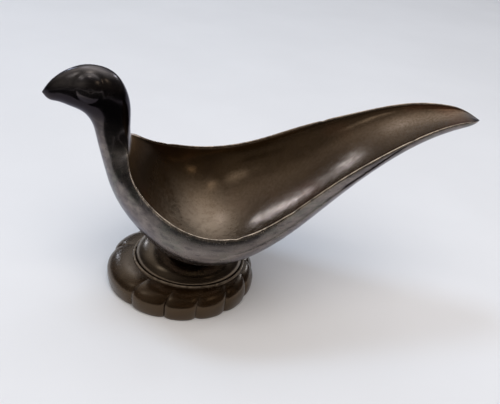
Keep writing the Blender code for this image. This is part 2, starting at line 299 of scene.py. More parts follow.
class NodeBench:
    """Lays out shader nodes and joins them."""

    def __init__(self, name: str) -> None:
        """Starts a material with only its Principled shader."""
        self.material = bpy.data.materials.new(name)
        self.material.use_nodes = True
        self.tree = self.material.node_tree
        self.shader = self.tree.nodes["Principled BSDF"]
        self.coords = self.tree.nodes.new("ShaderNodeTexCoord").outputs["Object"]

    def join(self, source: Socket | float | Sequence[float], target: Socket) -> None:
        """Links a socket to the target, or sets the target to a plain value."""
        join(self.tree, source, target)

    def feed(self, **sources: Socket | float) -> None:
        """Joins each source to the shader's socket of that name, written with _ for a space."""
        for name, source in sources.items():
            self.join(source, self.shader.inputs[name.replace("_", " ")])

    def noise(self, scale: float, detail: float = 3.0, roughness: float = 0.55,
              stretch: Point = (1.0, 1.0, 1.0), turn: Point = (0.0, 0.0, 0.0)) -> Socket:
        """Noise on the piece's own coordinates, with about scale features to the metre."""
        mapping = self.tree.nodes.new("ShaderNodeMapping")
        mapping.inputs["Scale"].default_value = stretch
        mapping.inputs["Rotation"].default_value = turn
        self.join(self.coords, mapping.inputs["Vector"])
        node = self.tree.nodes.new("ShaderNodeTexNoise")
        self.join(mapping.outputs["Vector"], node.inputs["Vector"])
        for setting, value in (("Scale", scale), ("Detail", detail), ("Roughness", roughness)):
            node.inputs[setting].default_value = value
        return node.outputs["Fac"]

    def attribute(self, mark: Mark) -> Socket:
        """A value painted on the piece's points."""
        node = self.tree.nodes.new("ShaderNodeAttribute")
        node.attribute_name = mark.value
        return node.outputs["Fac"]

    def band(self, value: Socket, low: float, high: float,
             to_low: float = 0.0, to_high: float = 1.0) -> Socket:
        """Maps low..high smoothly onto to_low..to_high."""
        node = self.tree.nodes.new("ShaderNodeMapRange")
        node.interpolation_type = "SMOOTHSTEP"
        ends = ("Value", "From Min", "From Max", "To Min", "To Max")
        for end, source in zip(ends, (value, low, high, to_low, to_high)):
            self.join(source, node.inputs[end])
        return node.outputs["Result"]

    def math(self, operation: str, a: Socket | float, b: Socket | float) -> Socket:
        """One step of arithmetic."""
        return step(self.tree, "ShaderNodeMath", operation, a, b).outputs["Value"]

    def product(self, a: Socket, b: Socket | float) -> Socket:
        """One value times another."""
        return self.math("MULTIPLY", a, b)

    def mix(self, share: Socket | float, a: Socket | Colour, b: Socket | Colour) -> Socket:
        """Mixes two colours: a where the share is 0, b where it is 1."""
        node = self.tree.nodes.new("ShaderNodeMix")
        node.data_type = "RGBA"
        colours = [s for s in node.inputs if s.type == "RGBA"]
        self.join(share, node.inputs[0])
        for socket, colour in zip(colours, (a, b)):
            self.join(colour if isinstance(colour, Socket) else (*colour, 1.0), socket)
        return next(s for s in node.outputs if s.type == "RGBA")

    def bump(self, height: Socket, distance_mm: float, strength: float,
             under: Socket | None = None) -> Socket:
        """Roughens the normal by a height, on top of an earlier bump when one is given."""
        node = self.tree.nodes.new("ShaderNodeBump")
        node.inputs["Strength"].default_value = strength
        node.inputs["Distance"].default_value = distance_mm * MM
        self.join(height, node.inputs["Height"])
        if under is not None:
            self.join(under, node.inputs["Normal"])
        return node.outputs["Normal"]


@dataclass(frozen=True)
class PatinaBronze:
    """Cast bronze under an old dark patina, worn bare where hands and cloths reach it, with painted sheen
    and shade.
    """

    name: str
    dark: Colour = (0.112, 0.096, 0.095)
    brown: Colour = (0.258, 0.222, 0.196)
    tarnish: Colour = (0.150, 0.155, 0.125)
    inner_dark: Colour = (0.006, 0.0025, 0.001)
    inner_olive: Colour = (0.024, 0.013, 0.004)
    inner_red: Colour = (0.060, 0.015, 0.007)
    head_neck_shade: Colour = (0.024, 0.020, 0.023)
    edge: Colour = (0.80, 0.80, 0.86)
    bare: Colour = (0.78, 0.62, 0.47)
    # colour of the painted shade
    shade_colour: Colour = (0.020, 0.016, 0.014)
    glaze: Colour = (1.0, 0.66, 0.40)
    roughness: Flat = (0.22, 0.27)
    inner_roughness: float = -0.03
    metallic: float = 1.0
    ior: float = 2.1
    pits: float = 1.0
    cloud_scale: float = 38.0
    tarnish_scale: float = 70.0
    red_scale: float = 26.0
    mottle_scale: float = 420.0
    grain_scale: float = 1300.0
    scratch_scale: float = 700.0
    pit_scale: float = 900.0

    def build(self) -> bpy.types.Material:
        """Builds the material: its colour, then how much of it is metal, its roughness and its bumps.

        Returns:
            The finished material. Bare metal shows where a piece is marked as rim, worn or painted with
            sheen.
        """
        bench = NodeBench(self.name)
        cloud = bench.noise(self.cloud_scale, 3.0, 0.5)
        mottle = bench.noise(self.mottle_scale, 4.0, 0.65)
        grain = bench.noise(self.grain_scale, 3.0, 0.6)
        rim, inside, wear_and_sheen, painted_shade, black = (bench.attribute(mark) for mark in Mark)
        # share shown as bare metal: real wear on the beak, painted sheen on the bowl's floor
        wear_sheen_share = bench.product(wear_and_sheen, bench.band(mottle, 0.30, 0.62, 0.35, 1.0))
        inner_shade = bench.product(painted_shade, inside)

        colour = bench.mix(inside, self.outer(bench, cloud), self.inner(bench, cloud, grain))
        colour = bench.mix(bench.product(wear_sheen_share, 0.45), colour, self.bare)
        worn = bench.product(rim, bench.band(mottle, 0.32, 0.58, 0.35, 1.0))
        colour = bench.mix(worn, colour, self.bare)
        # painted shade: places carrying the painted shade mark are mixed towards a dark colour
        colour = bench.mix(bench.product(painted_shade, 0.75), colour, self.shade_colour)
        # painted shade: the head and neck are darkened in place of their dark reflections
        colour = bench.mix(black, colour, self.head_neck_shade)
        bench.feed(Base_Color=colour)

        patina = bench.math("SUBTRACT", inside, rim)
        bare_grain = bench.product(inside, bench.band(grain, 0.42, 0.60, 0.0, 0.4))
        metal = bench.math("ADD", bench.band(patina, 0.0, 1.0, self.metallic, 0.0), bare_grain)
        metal = bench.math("MAXIMUM", metal, bench.product(wear_sheen_share, inside))
        # the painted shade in the bowl's corner is also made fully metallic and, below, rougher, which
        # dulls its reflection
        metal = bench.math("MAXIMUM", metal, inner_shade)
        bench.feed(Metallic=metal, IOR=self.ior)
        glazed = bench.band(patina, 0.0, 1.0, 0.0 if self.metallic else 1.0, 1.0)
        bench.feed(Specular_Tint=bench.mix(glazed, self.edge, self.glaze))

        rough = bench.math("ADD", bench.band(cloud, 0.3, 0.7, *self.roughness),
                           bench.band(mottle, 0.35, 0.75, -0.02, 0.04))
        for share, change in ((inside, self.inner_roughness), (inner_shade, 0.5), (black, -0.07)):
            rough = bench.math("ADD", rough, bench.product(share, change))
        bench.feed(Roughness=rough, Normal=self.relief(bench, mottle, grain))
        return bench.material

    def outer(self, bench: NodeBench, cloud: Socket) -> Socket:
        """Colour outside: dark to brown in a slow cloud, with green tarnish and lengthwise streaks."""
        streak = bench.noise(self.mottle_scale, 3.0, 0.6, stretch=(0.10, 1.0, 1.0), turn=(0.0, 0.25, 0.0))
        green = bench.band(bench.noise(self.tarnish_scale, 2.0, 0.5), 0.50, 0.66, 0.0, 0.6)
        colour = bench.mix(bench.band(cloud, 0.25, 0.75), self.dark, self.brown)
        colour = bench.mix(green, colour, self.tarnish)
        colour = bench.mix(bench.band(streak, 0.50, 0.64, 0.0, 0.65), colour, self.brown)
        return bench.mix(bench.band(streak, 0.48, 0.36, 0.0, 0.65), colour, self.dark)

    def inner(self, bench: NodeBench, cloud: Socket, grain: Socket) -> Socket:
        """Colour inside: dark brown to olive with a fine speckle and a slow reddish cloud."""
        colour = bench.mix(bench.band(cloud, 0.25, 0.75), self.inner_dark, self.inner_olive)
        colour = bench.mix(bench.band(grain, 0.48, 0.60, 0.0, 0.7), colour, self.inner_olive)
        colour = bench.mix(bench.band(grain, 0.52, 0.38, 0.0, 0.7), colour, self.inner_dark)
        red = bench.band(bench.noise(self.red_scale, 2.0, 0.5), 0.50, 0.66, 0.0, 0.5)
        return bench.mix(red, colour, self.inner_red)

    def relief(self, bench: NodeBench, mottle: Socket, grain: Socket) -> Socket:
        """Normal with the mottle, the grain, small pits and fine scratches as bumps."""
        scratch = bench.noise(self.scratch_scale, 2.0, 0.5, stretch=(0.10, 1.6, 1.6), turn=(0.0, 0.0, 0.35))
        pit = bench.noise(self.pit_scale, 2.0, 0.5)
        normal = bench.bump(mottle, 0.05, 0.07 * self.pits)
        normal = bench.bump(grain, 0.02, 0.25, normal)
        normal = bench.bump(bench.band(pit, 0.68, 0.76, 1.0, 0.0), 0.05, 0.3 * self.pits, normal)
        return bench.bump(bench.band(scratch, 0.66, 0.72, 1.0, 0.0), 0.02, 0.3 * self.pits, normal)


@dataclass(frozen=True)
class DullSteel:
    """Zinc-plated steel fixings that have gone dull."""

    name: str
    bright: Colour = (0.56, 0.55, 0.52)
    stained: Colour = (0.30, 0.24, 0.17)

    def build(self) -> bpy.types.Material:
        """Builds the material: plated steel with brown stains in a cloud and a fine turned grain."""
        bench = NodeBench(self.name)
        cloud = bench.noise(260.0, 4.0, 0.65)
        colour = bench.mix(bench.band(cloud, 0.48, 0.68), self.bright, self.stained)
        bench.feed(Base_Color=colour, Metallic=0.95, Roughness=bench.band(cloud, 0.3, 0.7, 0.30, 0.52))
        grain = bench.noise(1800.0, 3.0, 0.6, stretch=(1.0, 1.0, 3.0))
        bench.feed(Normal=bench.bump(grain, 0.02, 0.4))
        return bench.material


# --- The bird ---

@dataclass
class BirdCasting:
    """Head, neck, open bowl and tail in one casting, and the boss that it stands on.

    A cross-section hangs on three points in the plane of symmetry, each (x from the foot's axis, height
    above the raised ring): the under side, the widest line or rim, and the upper side, which is the crown
    and nape at the front and the floor of the bowl behind. The last three numbers are the half width, how
    far the rim is formed, and how far the side swells out below the rim.
    """

    axis_x: float
    ring_height: float
    rim_width: float = 1.0
    fullness: float = 0.2
    head_rows: int = 170
    back_rows: int = 190
    head_length: float = 62.0
    outer_steps: int = 60
    lip_steps: int = 7
    inner_steps: int = 56
    eye_centre: tuple[float, float] = (-45.0, 78.6)
    eye_radius: float = 5.4
    boss_radius: float = 11.0
    boss_rise: float = 10.4
    spigot_radius: float = 6.0
    tapped_hole: Flat = (2.8, 19.0)
    sections: tuple[Section, ...] = (
        # under side       widest or rim    upper or floor   half width, rim, bulge
        ((-63.9, 73.0), (-63.9, 73.0), (-63.9, 73.0), 0.0, 0.0, 0.0),
        ((-62.4, 71.3), (-62.6, 73.4), (-62.4, 75.5), 1.7, 0.0, 0.0),
        ((-58.6, 70.0), (-58.8, 75.0), (-58.2, 80.2), 4.2, 0.0, 0.0),
        ((-53.4, 68.8), (-52.6, 76.2), (-51.4, 84.3), 6.8, 0.0, 0.0),
        ((-48.8, 67.1), (-46.0, 76.2), (-43.6, 85.6), 8.2, 0.0, 0.0),
        ((-46.2, 65.0), (-40.8, 73.2), (-35.8, 82.9), 8.2, 0.0, 0.0),
        ((-44.3, 62.0), (-37.6, 69.0), (-30.9, 75.9), 7.6, 0.0, 0.0),
        ((-41.9, 53.2), (-34.6, 58.9), (-29.0, 63.0), 7.3, 0.0, 0.8),
        ((-40.1, 46.8), (-30.2, 55.0), (-28.7, 56.4), 9.0, 0.3, 1.7),
        ((-38.8, 42.9), (-29.2, 52.4), (-28.2, 52.4), 12.4, 0.8, 2.0),
        ((-37.1, 38.6), (-28.2, 49.7), (-27.2, 48.2), 18.0, 1.0, 1.5),
        ((-32.0, 29.4), (-24.5, 45.0), (-24.6, 40.2), 25.6, 1.0, 0.8),
        ((-24.3, 20.8), (-18.0, 40.3), (-19.2, 29.0), 32.2, 1.0, 0.0),
        ((-16.5, 14.0), (-10.2, 37.0), (-12.6, 19.6), 37.8, 1.0, 0.0),
        ((-6.0, 8.8), (-1.2, 35.0), (-3.0, 13.2), 41.4, 1.0, 0.0),
        ((12.0, 9.6), (13.0, 35.4), (13.0, 12.4), 42.7, 1.0, 0.0),
        ((30.0, 18.0), (29.0, 41.4), (30.0, 20.8), 38.9, 1.0, 0.0),
        ((50.0, 33.9), (49.5, 54.0), (50.4, 36.4), 31.0, 1.0, 0.0),
        ((72.0, 54.8), (72.0, 66.0), (72.2, 57.0), 22.9, 1.0, 0.0),
        ((93.0, 67.9), (93.2, 74.8), (93.2, 69.7), 16.0, 1.0, 0.0),
        ((107.0, 72.7), (107.2, 77.3), (107.4, 74.2), 10.6, 0.9, 0.0),
        ((114.8, 74.7), (115.0, 76.8), (115.0, 76.0), 5.6, 0.6, 0.0),
        ((118.9, 75.6), (118.9, 75.6), (118.9, 75.6), 0.0, 0.0, 0.0),
    )

    def rows(self) -> np.ndarray:
        """Cross-section values at every row: a smooth curve through the sections, close-set on the head."""
        table = np.array([[*under, *widest, *upper, *rest]
                          for under, widest, upper, *rest in self.sections])
        middle = (table[:, 0:2] + 2 * table[:, 2:4] + table[:, 4:6]) / 4
        knots = np.concatenate([[0.0], np.cumsum(np.hypot(*np.diff(middle, axis=0).T))])
        at = np.concatenate([np.linspace(0.0, self.head_length, self.head_rows, endpoint=False),
                             np.linspace(self.head_length, knots[-1], self.back_rows)])
        return natural_spline(knots, table, at)

    def half_loops(self, rows: np.ndarray) -> tuple[np.ndarray, np.ndarray, np.ndarray]:
        """Points of the +Y half, from the keel over the rim to the floor.

        The outside is a quarter of a superellipse between the under side and the widest line, the rim a
        half circle, and the inside a quarter of an ellipse down to the floor.

        Args:
            rows: the cross-section values.

        Returns:
            The points, the angle round each half loop in degrees, and how far the rim is formed.
        """
        under, widest, upper = rows[:, None, 0:2], rows[:, None, 2:4], rows[:, None, 4:6]
        half = np.maximum(rows[:, 6:7], 0.0)
        formed = np.clip(rows[:, 7:8], 0.0, 1.0)
        rim = np.minimum(self.rim_width * formed, 0.6 * half)
        angle = np.linspace(0.0, math.pi / 2, self.outer_steps + 1)[None, :]
        power = 2 / (2 + self.fullness * formed)
        down = np.abs(np.cos(angle)) ** power
        down[:, -1] = 0.0
        outer = widest + (under - widest) * down[..., None]
        outer_side = half * np.abs(np.sin(angle)) ** power
        outer_side = outer_side + rows[:, 8:9] * 2.6 * np.sin(angle) ** 2 * np.cos(angle)
        turn = np.linspace(0.0, math.pi, self.lip_steps + 2)[None, 1:-1]
        lip = widest + np.array([0.0, 1.0]) * (np.sin(turn) * rim / 2)[..., None]
        lip_side = half - rim / 2 + np.cos(turn) * rim / 2
        inner_angle = np.linspace(math.pi / 2, math.pi, self.inner_steps + 1)[None, :]
        inner = widest + (upper - widest) * -np.cos(inner_angle)[..., None]
        inner_side = (half - rim) * np.sin(inner_angle)
        inner_side[:, -1] = 0.0
        plane = np.concatenate([outer, lip, inner], axis=1)
        side = np.concatenate([outer_side, lip_side, inner_side], axis=1)
        points = np.stack([plane[..., 0], side, plane[..., 1] + self.ring_height], axis=-1)
        degrees = np.concatenate([np.degrees(angle[0]), np.full(self.lip_steps, 90.0),
                                  np.degrees(inner_angle[0])])
        return points, degrees, formed[:, 0]

    def eye_relief(self, points: np.ndarray) -> np.ndarray:
        """Outward height of the eyes: a round bulge, a ring groove about it and a small pupil dimple."""
        x, z = self.eye_centre
        away = np.hypot(points[..., 0] - x, points[..., 2] - self.ring_height - z) / self.eye_radius
        side = smooth_step(2.0, 5.0, np.abs(points[..., 1]))
        bulge = 0.95 * np.clip(1.0 - away ** 2, 0.0, 1.0) ** 1.1
        groove = -0.10 * np.exp(-((away - 1.08) / 0.16) ** 2)
        pupil = np.hypot(points[..., 0] - x - 0.6, points[..., 2] - self.ring_height - z + 0.6)
        return side * (bulge + groove - 0.22 * np.exp(-(pupil / 0.75) ** 2))

    def flank_welt(self, points: np.ndarray, degrees: np.ndarray) -> tuple[np.ndarray, np.ndarray]:
        """The low welt that runs along each flank, sharp above and fading below.

        Its line stands at 75 degrees from the keel, climbs to the rim near the tail and sinks under the
        breast, where it fades.

        Args:
            points: the surface, in mm.
            degrees: angle of each column from the keel.

        Returns:
            The outward height, and how deep the line above the welt is.
        """
        x = points[..., 0]
        line = 75.0 + 12.0 * smooth_step(60.0, 84.0, x) - 12.0 * (1.0 - smooth_step(0.0, 16.0, x))
        below = line - degrees[None, :]
        shown = smooth_step(0.0, 14.0, x) * (1.0 - smooth_step(70.0, 84.0, x))
        height = 0.42 * smooth_step(-1.2, 1.2, below) * np.exp(-np.clip(below, 0.0, None) / 14.0)
        line_depth = np.exp(-((below + 1.8) / 1.3) ** 2)
        # the second value also marks painted shade along the line above the welt
        return shown * (height - 0.12 * line_depth), shown * line_depth

    def rim_nicks(self, points: np.ndarray, lip: np.ndarray) -> np.ndarray:
        """How far small knocks have pushed the rim down, in mm."""
        drop = np.zeros(points.shape[:-1])
        for x, side, width, depth in ((14.0, -1, 1.4, 0.45), (35.5, -1, 1.2, 0.35), (-12.0, 1, 1.6, 0.3),
                                      (58.0, 1, 1.1, 0.35), (84.0, -1, 1.3, 0.25)):
            near = np.exp(-((points[..., 0] - x) / width) ** 2) * (np.sign(points[..., 1]) == side)
            drop += depth * near * lip
        return drop

    def body(self) -> Skin:
        """The bird's closed skin, with its marks."""
        rows = self.rows()
        half, half_degrees, formed = self.half_loops(rows)
        mirror = half[:, -2:0:-1] * np.array([1.0, -1.0, 1.0])
        loops = np.concatenate([half, mirror], axis=1)
        degrees = np.concatenate([half_degrees, half_degrees[-2:0:-1]])
        grid = loops[1:-1]
        formed = formed[1:-1, None]
        normal = -grid_normals(grid, round_rows=False)
        lip = np.exp(-((degrees - 90.0) / 0.9) ** 2)[None, :] * formed
        inside = smooth_step(89.0, 92.0, degrees)[None, :] * smooth_step(0.3, 0.9, formed)
        welt, welt_line = self.flank_welt(grid, degrees)
        height = self.eye_relief(grid) + welt
        height = height + 0.07 * ripples(grid, 22.0, 3) + 0.02 * ripples(grid, 6.0, 5)
        grid = grid + normal * height[..., None]
        grid[..., 2] -= self.rim_nicks(grid, lip)
        tips = np.array([half[0, 0], half[-1, 0]])
        count, around = grid.shape[:2]
        points = np.vstack([grid.reshape(-1, 3), tips])
        faces = [tube_faces(count, around, False)]
        faces += [fan[:, ::-1] for fan in pole_fans(count * around, around)]
        # closeness to a line just below the rim, where painted shade goes
        under_rim = np.exp(-((degrees - 83.0) / 4.5) ** 2)[None, :] * formed
        marks = self.marks(grid, inside, under_rim, welt_line) | {Mark.RIM: lip}
        flat = {mark: np.append(np.broadcast_to(values, height.shape).ravel(), [0.0, 0.0])
                for mark, values in marks.items()}
        return Skin(points, faces, flat)

    def marks(self, grid: np.ndarray, inside: np.ndarray, under_rim: np.ndarray,
              welt_line: np.ndarray) -> dict[Mark, np.ndarray]:
        """Where the patina is worn, where sheen and shade are painted, and where the head and neck are
        darkened.

        The beak is worn bare. The bowl's floor is worn and brightened as painted sheen. Painted shade lies
        on the line above the welt, outside just under the front of the rim, and high in the bowl's corner
        at the neck. The head and neck are darkened as painted shade in place of their dark reflections,
        less so on the crown.

        Args:
            grid: the surface, in mm.
            inside: 1 inside the bowl.
            under_rim: closeness to a line just below the rim.
            welt_line: depth of the line above the welt.

        Returns:
            One value for each point and mark.
        """
        x, y, above = grid[..., 0], grid[..., 1], grid[..., 2] - self.ring_height
        beak_x, beak_height = self.sections[0][0]
        beak = np.exp(-(np.hypot(x - beak_x - 0.9, above - beak_height - 0.5) / 3.0) ** 2)
        # painted sheen: the bowl's floor is brightened towards bare metal; on the beak the same mark is
        # real wear
        floor = inside * np.exp(-((x - 4.0) / 15.0) ** 2 - ((y + 3.0) / 20.0) ** 2)
        # painted shade: high in the bowl's corner at the neck
        corner = inside * (1 - smooth_step(-30.0, -8.0, x)) * smooth_step(22.0, 44.0, above)
        shade = under_rim * (1 - inside) * (1 - smooth_step(15.0, 45.0, x))
        # painted shade: head and neck darkened in place of their dark reflections, less on the crown
        black = smooth_step(53.0, 70.0, above + 0.25 * (x + 40.0)) * (1 - smooth_step(-26.0, -8.0, x))
        black = black * (1 - 0.7 * smooth_step(74.0, 80.0, above)) * (1 - inside)
        return {Mark.INSIDE: inside, Mark.RUBBED: 0.3 * beak + 0.8 * floor,
                Mark.RECESS: 0.3 * welt_line + 0.8 * corner + 0.55 * shade, Mark.BLACKENED: black}

    def boss(self, collar_top: float, spigot_bottom: float) -> Skin:
        """The turned boss and spigot, from inside the bowl's wall into the collar, with its tapped hole."""
        hole, end = self.tapped_hole
        top = self.ring_height + self.boss_rise
        seat = collar_top + GAP
        r, s = self.spigot_radius, self.boss_radius
        profile = [(0.0, end), (hole, end), (hole, spigot_bottom + 0.4), (hole + 0.4, spigot_bottom),
                   (r - 0.5, spigot_bottom), (r, spigot_bottom + 0.5), (r, seat), (s - 0.3, seat),
                   (s, seat + 0.3)]
        profile += arc((s + 0.6, top), (1.2, top - seat - 0.8), 270, 190, 6)
        profile += [(s - 0.8, top), (0.0, top)]
        return turned_skin(profile, 96)

    def build(self, finish: bpy.types.Material, collar_top: float, spigot_bottom: float) -> None:
        """Builds the pieces, dresses them and puts them on the frame."""
        for name, skin in (("bird_body", self.body()), ("bird_boss", self.boss(collar_top, spigot_bottom))):
            piece = skin.to_object(name, self.axis_x)
            place(piece, finish, "bird_bowl")


def place(piece: bpy.types.Object, finish: bpy.types.Material, node: str) -> None:
    """Dresses a piece, puts it on the frame in place of its CAD node, and reports it.

    Args:
        piece: the finished object.
        finish: its material.
        node: the CAD node that it stands for.
    """
    piece.data.materials.append(finish)
    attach(piece, ROOT)
    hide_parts(node)
    LOG.info("%s: %d points for %s", piece.name, len(piece.data.vertices), node)


# --- Collar and foot ---

@dataclass
class CollarTurning:
    """Domed collar that sits inside the foot's raised ring."""

    axis_x: float
    bottom: float
    top: float
    radius: float
    edge_top: float
    flat_radius: float = 12.0
    bore: float = 6.3
    bevel: float = 0.3

    def skin(self) -> Skin:
        """A ring turned from a short upright edge, a quarter-ellipse dome and a bore."""
        dome = (self.radius - self.flat_radius, self.top - self.edge_top)
        bevel = self.bevel
        profile = [(self.bore, self.bottom), (self.radius - bevel, self.bottom),
                   (self.radius, self.bottom + bevel)]
        profile += arc((self.flat_radius, self.edge_top), dome, 0, 90, 48)
        profile += [(self.bore + bevel, self.top), (self.bore, self.top - bevel)]
        outline = np.array(profile)
        # painted shade: a faint dark band at the dome's edge, next to the foot's ring
        painted_shade = np.exp(-((outline[:, 1] - self.edge_top + 0.6) / 0.5) ** 2)
        painted_shade = painted_shade * (outline[:, 0] > self.radius - 1)
        return turned_skin(profile, 256, marks={Mark.RECESS: painted_shade * 0.15})

    def build(self, finish: bpy.types.Material) -> None:
        """Builds the collar and puts it on the frame."""
        place(self.skin().to_object("collar", self.axis_x), finish, "pedestal_collar")


@dataclass
class FootCasting:
    """Low foot with uneven cushion lobes, a raised ring on top and a hollow under a flat web.

    The lobes stand round a centre that lies ahead of the ring's, towards the head.
    """

    axis_x: float
    ring_height: float
    ring_radius: float = 24.9
    outer_radius: float = 33.3
    lead: float = -3.2
    lobe_depth: float = 1.5
    lobe_powers: Flat = (2.6, 0.65)
    widest_height: float = 5.4
    base_inset: float = 1.6
    cushion_drop: float = 0.9
    ring_wall: float = 0.78
    hollow_radius: float = 28.0
    web_bottom: float = 7.5
    web_top: float = 9.5
    hole: float = 2.8
    steps: int = 900
    grooves: tuple[float, ...] = (-133, -104, -79, -54, -28, -2, 24, 50, 77, 104, 133, 162)

    def lobes(self, angles: np.ndarray) -> tuple[np.ndarray, np.ndarray]:
        """Fullness of the lobes and closeness to a groove, at these angles.

        Between two grooves the fullness is (1 - |t|^2.6)^0.65, where t runs from -1 to 1 across the lobe.

        Args:
            angles: directions from the lobes' centre, in radians.

        Returns:
            The fullness, and a value that is 1 in a groove and falls off within 2 degrees.
        """
        edges = np.radians(np.array(self.grooves + (self.grooves[0] + 360,), dtype=float))
        turned = (angles - edges[0]) % (2 * math.pi) + edges[0]
        k = np.clip(np.searchsorted(edges, turned, side="right") - 1, 0, len(self.grooves) - 1)
        across = 2 * (turned - edges[k]) / (edges[k + 1] - edges[k]) - 1
        inner_power, outer_power = self.lobe_powers
        full = np.clip(1 - np.abs(across) ** inner_power, 0.0, 1.0) ** outer_power
        gap = np.degrees(np.minimum(turned - edges[k], edges[k + 1] - turned))
        return full, np.exp(-(gap / 2.0) ** 2)

    def skin(self) -> Skin:
        """The foot's closed skin: an outline carried round the axis, pulled in at the grooves.

        From the ring outwards the outline is a quarter ellipse up to the widest line and a flatter quarter
        ellipse below it. The lobes and the lead grow with the sine of the way along the upper quarter, and
        the hollow underneath has the whole lead.
        """
        shoulder = self.ring_radius + 0.5
        rise = self.ring_height - self.cushion_drop - self.widest_height
        inset, widest = self.base_inset - 0.1, self.widest_height
        upper = arc((shoulder, widest), (self.outer_radius - shoulder, rise), 90, 0, 44)
        lower = arc((self.outer_radius - inset, widest), (inset, widest), 0, -78, 16)
        lower = lower[1:] + [(self.outer_radius - self.base_inset, 0.0)]
        wall = self.ring_radius - self.ring_wall
        ring = [(wall, self.web_top), (wall, self.ring_height - 0.5)]
        ring += arc((self.ring_radius - 0.2, self.ring_height - 0.35), (0.56, 0.35), 175, 20, 9)
        hollow = self.hollow_radius
        under = [(hollow + 0.4, 0.0), (hollow, 0.4), (hollow - 1.2, 4.5)]
        under += arc((hollow - 4.6, self.web_bottom - 2.9), (3.3, 2.9), 0, 90, 8)
        start = [(self.hole, self.web_bottom + 0.2), (self.hole, self.web_top)]
        profile = np.array(start + ring + upper + lower + under + [(self.hole + 0.2, self.web_bottom)])
        outward = np.zeros(len(profile))
        first, last = len(start) + len(ring), len(start) + len(ring) + len(upper) + len(lower)
        outward[first:last] = np.concatenate([np.sin(np.linspace(0, math.pi / 2, len(upper))),
                                              np.ones(len(lower))])
        leading = outward.copy()
        leading[last:-1] = 1.0
        angles = np.linspace(0, 2 * math.pi, self.steps, endpoint=False)
        full, groove = self.lobes(angles)
        pull = self.lobe_depth * (1 - full) + 0.15 * groove
        radius = profile[None, :, 0] - pull[:, None] * outward[None, :] ** 1.5
        height = profile[None, :, 1] - 0.5 * (1 - full)[:, None] * np.sin(outward * math.pi)[None, :]
        lead = self.lead * leading[None, :]
        points = np.stack([radius * np.cos(angles)[:, None] + lead, radius * np.sin(angles)[:, None],
                           height], axis=-1)
        uneven = 0.05 * ripples(points, 9.0, 11) * outward[None, :]
        points[..., 0] += uneven * np.cos(angles)[:, None]
        points[..., 1] += uneven * np.sin(angles)[:, None]
        crest = np.exp(-((profile[:, 0] - self.ring_radius) / 0.4) ** 2) * \
            (profile[:, 1] > self.ring_height - 0.3)
        # painted shade in the grooves between the lobes; the ring's crest is marked as worn
        marks = {Mark.RECESS: groove[:, None] * outward[None, :] * 0.3,
                 Mark.RIM: np.broadcast_to(0.3 * crest, radius.shape)}
        flat = {mark: values.ravel() for mark, values in marks.items()}
        return Skin(points.reshape(-1, 3), [tube_faces(self.steps, len(profile), True)], flat)

    def build(self, finish: bpy.types.Material) -> None:
        """Builds the foot and puts it on the frame."""
        place(self.skin().to_object("foot", self.axis_x, 50.0), finish, "lobed_foot")


# --- Fixings under the foot ---

